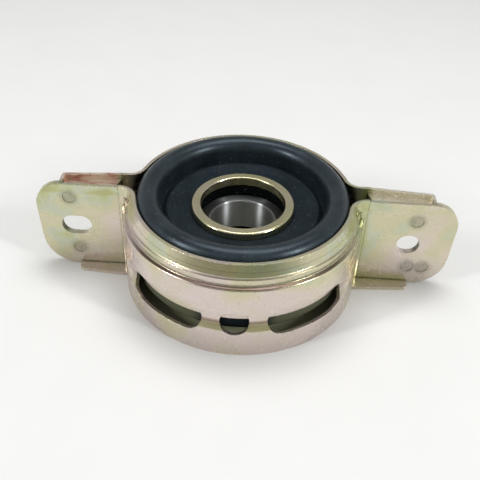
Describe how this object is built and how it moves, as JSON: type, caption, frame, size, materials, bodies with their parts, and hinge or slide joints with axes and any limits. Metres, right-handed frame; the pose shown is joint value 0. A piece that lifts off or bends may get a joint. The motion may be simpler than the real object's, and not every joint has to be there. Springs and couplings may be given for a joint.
{
  "type": "driveshaft centre bearing",
  "caption": "Driveshaft centre bearing: a sealed ball bearing in a folded rubber cushion, held in a pressed steel housing with a bolting ear on each side.",
  "frame": {"origin": "middle of the shaft bore, on the bearing's middle plane", "axes": "+Z along the shaft axis, up as the part lies; +X through the ears toward the round bolt hole; -Y toward the front housing half"},
  "size_m": [0.191, 0.108, 0.049],
  "materials": {
    "zinc_sheet": "yellow-passivated zinc on pressed sheet steel",
    "zinc_cover": "yellow-passivated zinc on thin drawn sheet",
    "bearing_steel": "ground bearing steel",
    "ball_steel": "polished bearing steel",
    "cage_steel": "stamped steel strip",
    "cushion_rubber": "moulded rubber, satin",
    "seal_rubber": "moulded seal rubber"
  },
  "bodies": {
    "mount_body": {"outer_ring": "bearing_steel", "seal_upper": "seal_rubber", "seal_lower": "seal_rubber", "dust_cover_upper": "zinc_cover", "dust_cover_lower": "zinc_cover", "dust_lip_upper": "seal_rubber", "dust_lip_lower": "seal_rubber", "bearing_sleeve": "zinc_sheet", "rubber_cushion": "cushion_rubber", "cushion_shell": "zinc_sheet", "housing_front": "zinc_sheet", "housing_rear": "zinc_sheet"},
    "inner_ring_body": {"inner_ring": "bearing_steel"},
    "cage_body": {"cage_upper": "cage_steel", "cage_lower": "cage_steel", "cage_rivets": "cage_steel"},
    "ball_1_body": {"ball_1": "ball_steel"},
    "ball_2_body": {"ball_2": "ball_steel"},
    "ball_3_body": {"ball_3": "ball_steel"},
    "ball_4_body": {"ball_4": "ball_steel"},
    "ball_5_body": {"ball_5": "ball_steel"},
    "ball_6_body": {"ball_6": "ball_steel"},
    "ball_7_body": {"ball_7": "ball_steel"},
    "ball_8_body": {"ball_8": "ball_steel"},
    "ball_9_body": {"ball_9": "ball_steel"}
  },
  "joints": [
    {"name": "inner_ring_spin", "type": "hinge", "parent": "mount_body", "child": "inner_ring_body", "pos_m": [0, 0, 0], "axis": [0, 0, 1], "continuous": true},
    {"name": "cage_orbit", "type": "hinge", "parent": "mount_body", "child": "cage_body", "pos_m": [0, 0, 0], "axis": [0, 0, 1], "continuous": true},
    {"name": "ball_1_spin", "type": "hinge", "parent": "cage_body", "child": "ball_1_body", "pos_m": [0.023, 0, 0], "axis": [0, 0, 1], "continuous": true},
    {"name": "ball_2_spin", "type": "hinge", "parent": "cage_body", "child": "ball_2_body", "pos_m": [0.01762, 0.01478, 0], "axis": [0, 0, 1], "continuous": true},
    {"name": "ball_3_spin", "type": "hinge", "parent": "cage_body", "child": "ball_3_body", "pos_m": [0.00399, 0.02265, 0], "axis": [0, 0, 1], "continuous": true},
    {"name": "ball_4_spin", "type": "hinge", "parent": "cage_body", "child": "ball_4_body", "pos_m": [-0.0115, 0.01992, 0], "axis": [0, 0, 1], "continuous": true},
    {"name": "ball_5_spin", "type": "hinge", "parent": "cage_body", "child": "ball_5_body", "pos_m": [-0.02161, 0.00787, 0], "axis": [0, 0, 1], "continuous": true},
    {"name": "ball_6_spin", "type": "hinge", "parent": "cage_body", "child": "ball_6_body", "pos_m": [-0.02161, -0.00787, 0], "axis": [0, 0, 1], "continuous": true},
    {"name": "ball_7_spin", "type": "hinge", "parent": "cage_body", "child": "ball_7_body", "pos_m": [-0.0115, -0.01992, 0], "axis": [0, 0, 1], "continuous": true},
    {"name": "ball_8_spin", "type": "hinge", "parent": "cage_body", "child": "ball_8_body", "pos_m": [0.00399, -0.02265, 0], "axis": [0, 0, 1], "continuous": true},
    {"name": "ball_9_spin", "type": "hinge", "parent": "cage_body", "child": "ball_9_body", "pos_m": [0.01762, -0.01478, 0], "axis": [0, 0, 1], "continuous": true}
  ],
  "couplings": [
    {"joint": "cage_orbit", "follows": "inner_ring_spin", "ratio": 0.39674},
    {"joint": "ball_1_spin", "follows": "inner_ring_spin", "ratio": -2.3178},
    {"joint": "ball_2_spin", "follows": "inner_ring_spin", "ratio": -2.3178},
    {"joint": "ball_3_spin", "follows": "inner_ring_spin", "ratio": -2.3178},
    {"joint": "ball_4_spin", "follows": "inner_ring_spin", "ratio": -2.3178},
    {"joint": "ball_5_spin", "follows": "inner_ring_spin", "ratio": -2.3178},
    {"joint": "ball_6_spin", "follows": "inner_ring_spin", "ratio": -2.3178},
    {"joint": "ball_7_spin", "follows": "inner_ring_spin", "ratio": -2.3178},
    {"joint": "ball_8_spin", "follows": "inner_ring_spin", "ratio": -2.3178},
    {"joint": "ball_9_spin", "follows": "inner_ring_spin", "ratio": -2.3178}
  ]
}
